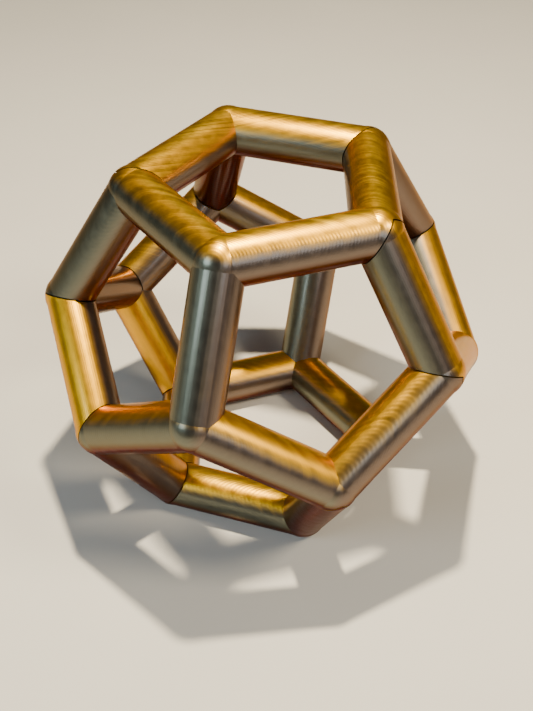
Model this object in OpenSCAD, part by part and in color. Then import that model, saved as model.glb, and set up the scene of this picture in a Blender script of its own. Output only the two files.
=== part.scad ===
// Dodecahedron frame puzzle: six pieces of round bar that butt together at the corners.
//
// The bars follow the thirty edges of a regular dodecahedron that stands on one face.
// Two large frames hold four small pieces between them. Every piece has a twin, which
// is the same piece carried through the middle of the puzzle to its far side.
// Z is up, and the lowest bars touch z = 0.

/* [Frame] */
// Length of one edge, between the centres of two corners
edge_length = 36; // [30:1:45]
// Diameter of the round bars
bar_d = 12; // [8:0.5:14]

// How far the round corners stand out past the bars
corner_swell = 0.15; // [0.1:0.05:0.5]

/* [Joints] */
// Gap between two pieces where their cut faces meet at a corner
seam_gap = 0.3; // [0.1:0.05:0.6]

/* [Layout] */
// Angle, about Z, of the first corner of the bottom face
first_angle = -72; // [-180:1:180]

/* [Hidden] */
$fn = 64;

// Radius of the corner circle of the top and bottom faces, and of the two belts between
face_r = edge_length / (2 * sin(36));
golden = (1 + sqrt(5)) / 2;
belt_r = face_r * golden;

// Heights of the four rings of corners, from the bottom face to the top face
belt_step = belt_r - face_r;
base_z = bar_d / 2 + corner_swell;
ring_z = [
    base_z,
    base_z + face_r,
    base_z + face_r + belt_step,
    base_z + 2 * face_r + belt_step
];

// Size of the blocks that cut a corner. It covers the joint, which reaches 0.62 of a bar's
// diameter from the corner, and stops well short of the next corner.
cutter = 1.5 * bar_d;

// Bars of one corner end this much apart
end_step = 0.5;

// Extra depth of the second face of a notch
notch_offset = 0.06;

gold = [0.78, 0.60, 0.28];
copper = [0.62, 0.38, 0.24];
silver_gold = [0.76, 0.68, 0.48];

// Corners are numbered 0 to 19. Each ring has five, from the bottom ring upwards.
B = 0;   // bottom face
L = 5;   // lower belt
U = 10;  // upper belt
T = 15;  // top face

// Number of the corner straight across the middle from corner v
function across(v) =
    let (ring = floor(v / 5))
    5 * (3 - ring) + (v + (ring < 2 ? 2 : 3)) % 5;

function all_across(bars) = [for (b = bars) [across(b[0]), across(b[1])]];

// Each bar is a pair of corners. The other three pieces lie straight across from these.
rear_bars = [
    [L + 2, B + 2], [L + 2, U + 1], [L + 2, U + 2],
    [T + 1, U + 1], [B + 2, B + 1], [B + 2, B + 3],
    [U + 2, L + 3], [B + 3, B + 4], [B + 1, L + 1]
];
bottom_bars = [[B, B + 4], [B, L], [B, B + 1]];
right_bars = [[T, U], [U, L + 1], [L + 1, U + 1]];
half_bars = concat(rear_bars, bottom_bars, right_bars);
all_bars = concat(half_bars, all_across(half_bars));

// Position of a corner, from its number
function corner(v) =
    let (
        ring = floor(v / 5),
        r = ring == 0 || ring == 3 ? face_r : belt_r,
        a = first_angle + 72 * (v % 5) + (ring > 1 ? 36 : 0)
    )
    [r * cos(a), r * sin(a), ring_z[ring]];

function unit(p) = p / norm(p);

// Directions in which the given bars leave a corner
function ways(v, bars) = [
    for (b = bars)
        if (b[0] == v || b[1] == v)
            unit(corner(b[0] == v ? b[1] : b[0]) - corner(v))
];

function has(bars, b) = len([for (own = bars) if (own == b) 1]) > 0;

// The bars of the other pieces
function others(bars) = [for (b = all_bars) if (!has(bars, b)) b];

// Corners that the given bars touch, each once
function corners_of(bars) = [for (v = [0:19]) if (len(ways(v, bars)) > 0) v];

// A block that fills the side of a plane that faces along n, from offset onwards
module side_of_plane(n, offset) {
    rotate([0, -asin(n[2]), atan2(n[1], n[0])])
        translate([offset, -cutter / 2, -cutter / 2])
            cube(cutter);
}

// One straight bar between two corners. It starts and stops a little way in from them,
// inside the round corners, by one of three amounts, so that no two bars of a corner
// end on the same line.
module bar(b, number) {
    way = unit(corner(b[1]) - corner(b[0]));
    inset = end_step * (number % 3);
    translate(corner(b[0]))
        rotate([0, acos(way[2]), atan2(way[1], way[0])])
            translate([0, 0, inset])
                cylinder(h = edge_length - 2 * inset, d = bar_d);
}

// What a neighbour's bar takes from a corner. The space is bounded by its mitres
// against the piece's own bars there, each moved by half the gap. The second face of a
// notch is set back a little more, so that the bottom of the notch clears the line
// where the piece's own two bars meet.
module neighbour_space(own, neighbour) {
    intersection_for (i = [0:len(own) - 1])
        side_of_plane(unit(neighbour - own[i]), -seam_gap / 2 - notch_offset * i);
}

module seam_cuts(v, bars) {
    own = ways(v, bars);
    translate(corner(v))
        for (neighbour = ways(v, others(bars)))
            neighbour_space(own, neighbour);
}

// A whole piece: its bars, less what its neighbours take at each corner
module piece(bars) {
    difference() {
        union() {
            for (i = [0:len(bars) - 1])
                bar(bars[i], i);
            for (v = corners_of(bars))
                translate(corner(v))
                    sphere(d = bar_d + 2 * corner_swell);
        }
        for (v = corners_of(bars))
            seam_cuts(v, bars);
    }
}

// Moves a piece to the far side of the puzzle, point for point through the middle
module to_far_side() {
    translate([0, 0, ring_z[0] + ring_z[3]])
        mirror([0, 0, 1])
            rotate(180)
                children();
}

module front_frame() {
    color(gold) to_far_side() piece(rear_bars);
}

module rear_frame() {
    color(copper) piece(rear_bars);
}

module top_branch() {
    color(silver_gold) to_far_side() piece(bottom_bars);
}

module bottom_branch() {
    color(copper) piece(bottom_bars);
}

module right_link() {
    color(gold) piece(right_bars);
}

module left_link() {
    color(silver_gold) to_far_side() piece(right_bars);
}

front_frame();
rear_frame();
top_branch();
bottom_branch();
right_link();
left_link();
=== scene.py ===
"""Looks for the dodecahedron frame puzzle: silk printed plastic, coloured with painted light and
shade, on a pale floor.
"""
import math

import bpy
from mathutils import Matrix, Vector


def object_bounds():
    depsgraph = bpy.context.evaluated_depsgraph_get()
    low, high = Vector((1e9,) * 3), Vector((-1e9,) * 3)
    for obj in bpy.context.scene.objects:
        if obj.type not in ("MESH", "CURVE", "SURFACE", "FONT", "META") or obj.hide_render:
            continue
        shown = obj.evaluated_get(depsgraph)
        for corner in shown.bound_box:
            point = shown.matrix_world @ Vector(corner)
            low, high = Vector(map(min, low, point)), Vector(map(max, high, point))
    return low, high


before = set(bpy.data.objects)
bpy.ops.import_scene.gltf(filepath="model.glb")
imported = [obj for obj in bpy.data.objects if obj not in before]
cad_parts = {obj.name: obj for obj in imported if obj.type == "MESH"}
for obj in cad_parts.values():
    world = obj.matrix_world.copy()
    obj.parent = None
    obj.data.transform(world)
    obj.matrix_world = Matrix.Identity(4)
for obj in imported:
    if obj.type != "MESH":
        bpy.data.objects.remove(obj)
CAD_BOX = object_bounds()

# ---------------------------------------------------------------- the puzzle's own sizes
LOW, HIGH = (Vector(corner) for corner in CAD_BOX)
CENTRE = (LOW + HIGH) / 2
# Height of the box: 2.2270 edges between centre lines, plus a bar, plus what the round
# corners stand out at the top and the bottom.
BAR_TO_EDGE = 1 / 3
CORNER_SWELL = 0.00015
EDGE = (HIGH.z - LOW.z - 2 * CORNER_SWELL) / (2.22703 + BAR_TO_EDGE)


def direction(azimuth, elevation):
    """Unit vector at an angle about Z, from +X, and an angle up from the floor."""
    a, e = math.radians(azimuth), math.radians(elevation)
    return Vector((math.cos(a) * math.cos(e), math.sin(a) * math.cos(e), math.sin(e)))


# ---------------------------------------------------------------- node helpers
class Graph:
    """A material's node tree, with short ways to add and join nodes."""

    def __init__(self, name):
        self.material = bpy.data.materials.new(name)
        self.material.use_nodes = True
        self.nodes = self.material.node_tree.nodes
        self.links = self.material.node_tree.links
        self.shader = self.nodes["Principled BSDF"]

    def add(self, kind, inputs=(), **settings):
        node = self.nodes.new(kind)
        for key, value in settings.items():
            setattr(node, key, value)
        for socket, value in dict(inputs).items():
            self.put(node.inputs[socket], value)
        return node

    def put(self, socket, value):
        if isinstance(value, bpy.types.NodeSocket):
            self.links.new(value, socket)
        else:
            socket.default_value = value

    def math(self, operation, a, b=0.0):
        return self.add("ShaderNodeMath", {0: a, 1: b}, operation=operation).outputs[0]

    def dot(self, vector, axis):
        node = self.add("ShaderNodeVectorMath", {0: vector, 1: tuple(axis)}, operation="DOT_PRODUCT")
        return node.outputs["Value"]

    def ramp(self, value, low, high):
        """Smooth step from 0 at low to 1 at high."""
        inputs = {"Value": value, "From Min": low, "From Max": high}
        node = self.add("ShaderNodeMapRange", inputs, interpolation_type="SMOOTHSTEP")
        return node.outputs["Result"]

    def noise(self, vector, scale, detail=2.0, roughness=0.5):
        inputs = {"Vector": vector, "Scale": scale, "Detail": detail, "Roughness": roughness}
        return self.add("ShaderNodeTexNoise", inputs).outputs["Fac"]

    def mix(self, amount, a, b, blend="MIX"):
        node = self.add("ShaderNodeMix", data_type="RGBA", blend_type=blend)
        self.put(node.inputs["Factor"], amount)
        self.put(node.inputs["A"], a)
        self.put(node.inputs["B"], b)
        return node.outputs["Result"]


def rgb(red, green, blue):
    return (red, green, blue, 1.0)


# ---------------------------------------------------------------- silk plastic, coloured with painted light and shade
LAYER = 0.0004          # one printed line, metres
RELIEF = 0.00005        # depth of the printed lines and blotches, metres
# Noise features per metre: slow colour drift, blotches, and the finest grain
DRIFT_SCALE = 60.0
BLOTCH_SCALE = 420.0
GRAIN_SCALE = 2600.0
# How far drift and single lines move the edge between gold and mauve
DRIFT_SPREAD = 0.28
LINE_SPREAD = 0.05
WARMTH_SHIFT = 0.9      # how far warmth moves that edge
# The way the surface faces that gets the teal painted sky reflection on the mauve painted shade
SKY_REFLECTION_SIDE = (-0.75, -0.65, 0.1)
DOWN = (0.0, 0.0, -1.0)
GOLD = rgb(0.70, 0.35, 0.008)
# Painted highlight: pale gold where the surface faces the light most
HIGHLIGHT_GOLD = rgb(0.86, 0.53, 0.020)
# Painted shade: mauve-grey on the sides that face away from the light
SHADE_MAUVE = rgb(0.165, 0.120, 0.096)
# Painted reflection: teal-grey of a bluish sky on the shaded sides
SKY_TEAL = rgb(0.150, 0.158, 0.120)
# Painted shade and floor reflection: dark copper on surfaces that face down
UNDERSIDE_SHADE_COPPER = rgb(0.085, 0.026, 0.005)
EDGE_TINT = rgb(0.62, 0.36, 0.16)


def silk_plastic(name, print_axis, painted_lit_side, warmth):
    """Silk plastic whose colour holds painted light and shade, printed in layers across print_axis.

    The colour changes with the way the surface faces, and this is painted light and shade: gold where
    the surface faces the lit side given as the second argument, a pale gold painted highlight, mauve
    painted shade with a teal painted sky reflection on the sides, and dark copper painted shade and
    floor reflection underneath. warmth moves the whole piece towards the lit gold (1) or towards the
    shaded mauve (0).
    """
    g = Graph(name)
    place = g.add("ShaderNodeTexCoord").outputs["Object"]
    facing = g.add("ShaderNodeNewGeometry").outputs["Normal"]

    # Printed lines, each a little different from the next
    line = g.math("MULTIPLY", g.dot(place, print_axis), 1 / LAYER)
    ridge = g.math("SINE", g.math("MULTIPLY", line, 2 * math.pi))
    line_number = g.math("FLOOR", line)
    white_noise = g.add("ShaderNodeTexWhiteNoise", {"W": line_number}, noise_dimensions="1D")
    per_line = white_noise.outputs["Value"]
    drift = g.noise(place, DRIFT_SCALE, detail=3.0)
    blotch = g.noise(place, BLOTCH_SCALE, detail=3.0, roughness=0.65)
    grain = g.noise(place, GRAIN_SCALE, detail=1.0)

    # Painted light and shade by the way the surface faces: lit gold, a pale gold painted highlight,
    # mauve painted shade, a teal painted sky reflection and dark copper painted shade underneath
    # How much the surface faces the lit side, with drift and line noise: the mask for painted light
    # and shade
    lit_facing = g.dot(facing, painted_lit_side)
    lit_facing = g.math("ADD", lit_facing, g.math("MULTIPLY", g.math("SUBTRACT", drift, 0.5), DRIFT_SPREAD))
    lit_facing = g.math("ADD", lit_facing, g.math("MULTIPLY", g.math("SUBTRACT", per_line, 0.5), LINE_SPREAD))
    shift = WARMTH_SHIFT * (warmth - 0.5)
    # Teal painted sky reflection mixed into the mauve painted shade
    shaded_sides = g.mix(g.ramp(g.dot(facing, SKY_REFLECTION_SIDE), 0.30, 0.95), SHADE_MAUVE, SKY_TEAL)
    # Painted shade in mauve on the sides, lit gold where the surface faces the light
    lit_and_shaded = g.mix(g.ramp(lit_facing, 0.22 - shift, 0.66 - shift), shaded_sides, GOLD)
    # Painted highlight in pale gold on the surfaces that face the light most
    with_highlight = g.mix(g.ramp(lit_facing, 0.82, 1.10), lit_and_shaded, HIGHLIGHT_GOLD)
    # Painted shade and floor reflection in dark copper on the undersides
    painted_underside_shade = g.ramp(g.dot(facing, DOWN), -0.05, 0.36)
    colour = g.mix(painted_underside_shade, with_highlight, UNDERSIDE_SHADE_COPPER)

    # Line-to-line colour variation and blotches
    shade = g.math("ADD", 0.94, g.math("MULTIPLY", per_line, 0.06))
    shade = g.math("ADD", shade, g.math("MULTIPLY", g.math("SUBTRACT", blotch, 0.5), 0.22))
    grey = g.add("ShaderNodeCombineColor", {0: shade, 1: shade, 2: shade}).outputs[0]
    g.put(g.shader.inputs["Base Color"], g.mix(1.0, colour, grey, "MULTIPLY"))

    roughness = g.math("ADD", 0.25, g.math("MULTIPLY", per_line, 0.07))
    roughness = g.math("ADD", roughness, g.math("MULTIPLY", blotch, 0.16))
    g.put(g.shader.inputs["Roughness"], roughness)
    g.shader.inputs["Metallic"].default_value = 1.0
    g.shader.inputs["Specular Tint"].default_value = EDGE_TINT
    g.shader.inputs["Coat Weight"].default_value = 0.30
    g.shader.inputs["Coat Roughness"].default_value = 0.13

    relief = g.math("ADD", g.math("MULTIPLY", ridge, 0.5), g.math("MULTIPLY", per_line, 0.25))
    relief = g.math("ADD", relief, g.math("MULTIPLY", grain, 0.3))
    relief = g.math("ADD", relief, g.math("MULTIPLY", blotch, 1.4))
    bump = g.add("ShaderNodeBump", {"Strength": 0.22, "Distance": RELIEF, "Height": relief})
    g.put(g.shader.inputs["Normal"], bump.outputs["Normal"])
    return g.material


# Each piece: the way its layers stack, the way the lit side of its painted light faces (gold there,
# painted mauve shade away from it), and how gold it is.
# The links' bars lie in one face each, so their layers stack along that face's normal.
PIECES = {
    "front_frame": (direction(252, 31.72), direction(60, 70), 0.50),
    "rear_frame": (direction(72, 31.72), direction(60, 70), 0.45),
    "top_branch": (direction(108, 52.62), direction(60, 75), 0.62),
    "bottom_branch": (direction(-72, 52.62), direction(60, 75), 0.55),
    "right_link": (direction(0, 26.57), direction(20, 40), 0.45),
    "left_link": (direction(180, -26.57), direction(220, 25), 0.85),
}
meshes = [o for o in bpy.data.objects if o.type == "MESH"]
for node_name, (print_axis, painted_lit_side, warmth) in PIECES.items():
    plastic = silk_plastic("silk_" + node_name, print_axis, painted_lit_side, warmth)
    for piece in meshes:
        if piece.name.split(".")[0] != node_name:
            continue
        for slot in piece.material_slots:
            slot.material = plastic


# ---------------------------------------------------------------- floor
FLOOR_SIZE = 60         # side of the floor, in edges
FLOOR_TONES = rgb(0.66, 0.61, 0.55), rgb(0.72, 0.67, 0.60)


def pale_floor():
    g = Graph("pale_floor")
    place = g.add("ShaderNodeTexCoord").outputs["Object"]
    tone = g.noise(place, 18.0, detail=4.0)
    g.put(g.shader.inputs["Base Color"], g.mix(tone, *FLOOR_TONES))
    g.shader.inputs["Roughness"].default_value = 0.85
    g.shader.inputs["Specular IOR Level"].default_value = 0.2
    return g.material


bpy.ops.mesh.primitive_plane_add(size=FLOOR_SIZE * EDGE, location=(0, 0, LOW.z))
floor = bpy.context.object
floor.name = "floor"
floor.data.materials.append(pale_floor())

# ---------------------------------------------------------------- camera
# Fitted to the photograph: distances are in edges, from the middle of the puzzle.
CAMERA_AZIMUTH = 0.581
CAMERA_ELEVATION = 40.48
CAMERA_ROLL = -0.495
CAMERA_DISTANCE = 7.5325
CAMERA_SHIFT = (-0.0015, 0.2244)
LENS_TO_HEIGHT = 1.4782

azimuth, elevation, roll = (math.radians(v) for v in (CAMERA_AZIMUTH, CAMERA_ELEVATION, CAMERA_ROLL))
back = Vector((
    math.sin(azimuth) * math.cos(elevation),
    -math.cos(azimuth) * math.cos(elevation),
    math.sin(elevation),
))
level_right = Vector((math.cos(azimuth), math.sin(azimuth), 0))
level_up = back.cross(level_right)
right = math.cos(roll) * level_right + math.sin(roll) * level_up
up = math.cos(roll) * level_up - math.sin(roll) * level_right
eye = CENTRE + EDGE * (CAMERA_DISTANCE * back - CAMERA_SHIFT[0] * right - CAMERA_SHIFT[1] * up)

camera = bpy.data.objects.new("camera", bpy.data.cameras.new("camera"))
bpy.context.scene.collection.objects.link(camera)
camera.matrix_world = Matrix((right, up, back)).transposed().to_4x4()
camera.matrix_world.translation = eye
camera.data.sensor_fit = "VERTICAL"
camera.data.sensor_height = 36.0
camera.data.lens = LENS_TO_HEIGHT * camera.data.sensor_height
camera.data.clip_start = 0.01
bpy.context.scene.camera = camera

# ---------------------------------------------------------------- light
WORLD_STRENGTH = 0.09


def soft_light(name, way, distance, size, power, tint):
    """A round soft box, aimed at the puzzle from the way given. Distance and size in edges."""
    lamp = bpy.data.lights.new(name, "AREA")
    lamp.shape = "DISK"
    lamp.size = size * EDGE
    lamp.energy = power
    lamp.color = tint
    box = bpy.data.objects.new(name, lamp)
    bpy.context.scene.collection.objects.link(box)
    box.location = CENTRE + way * distance * EDGE
    box.rotation_euler = way.to_track_quat("Z", "Y").to_euler()


soft_light("key", direction(75, 86), 12, 0.7, 4.7, (1.0, 0.88, 0.64))
soft_light("right", direction(-25, 48), 16, 4.0, 2.2, (1.0, 0.89, 0.66))
soft_light("sky_left", direction(215, 30), 16, 7.0, 1.2, (0.74, 0.90, 1.0))
soft_light("sky_front", direction(-60, 30), 18, 8.0, 0.8, (0.82, 0.92, 1.0))

world = bpy.data.worlds.new("studio")
bpy.context.scene.world = world
world.use_nodes = True
background = world.node_tree.nodes["Background"]
background.inputs["Color"].default_value = rgb(0.86, 0.86, 0.88)
background.inputs["Strength"].default_value = WORLD_STRENGTH
